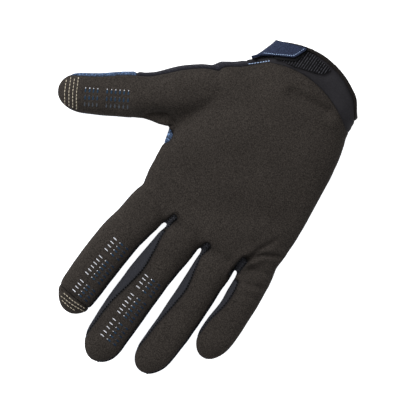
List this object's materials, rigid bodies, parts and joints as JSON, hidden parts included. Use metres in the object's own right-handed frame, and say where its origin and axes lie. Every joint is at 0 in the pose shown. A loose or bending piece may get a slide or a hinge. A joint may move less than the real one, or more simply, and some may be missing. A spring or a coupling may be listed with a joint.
{
  "type": "cycling glove",
  "caption": "Full-finger cycling glove for the right hand, with a suede palm, knit back and a wrist tab over a ribbed pad.",
  "frame": {"origin": "middle of the back of the hand, on the surface that the glove lies on", "axes": "+Y from the wrist to the fingertips, +X toward the thumb, +Z out of the palm"},
  "size_m": [0.1748, 0.2283, 0.0298],
  "materials": {
    "palm_suede": "brushed synthetic suede, matte",
    "back_knit": "heather knit, matte",
    "thumb_knit": "heather knit, matte",
    "side_knit": "plain dark knit, matte",
    "fourchette_stretch": "fine stretch jersey, matte",
    "cuff_stretch": "dense stretch cloth, matte",
    "binding_tape": "woven edge tape, matte",
    "loop_tape": "ribbed loop tape",
    "hook_tape": "hook tape",
    "tab_skin": "smooth coated cloth, low sheen"
  },
  "bodies": {
    "root": {"palm_panel": "palm_suede", "back_panel": "back_knit", "thumb_back": "thumb_knit", "side_panel": "side_knit", "fourchette_index_middle": "fourchette_stretch", "fourchette_middle_ring": "fourchette_stretch", "fourchette_ring_little": "fourchette_stretch", "index_tip_cap": "palm_suede", "cuff": "cuff_stretch", "rim_binding": "binding_tape", "loop_patch": "loop_tape", "tab_hook": "hook_tape", "closure_tab": "tab_skin"}
  },
  "joints": []
}
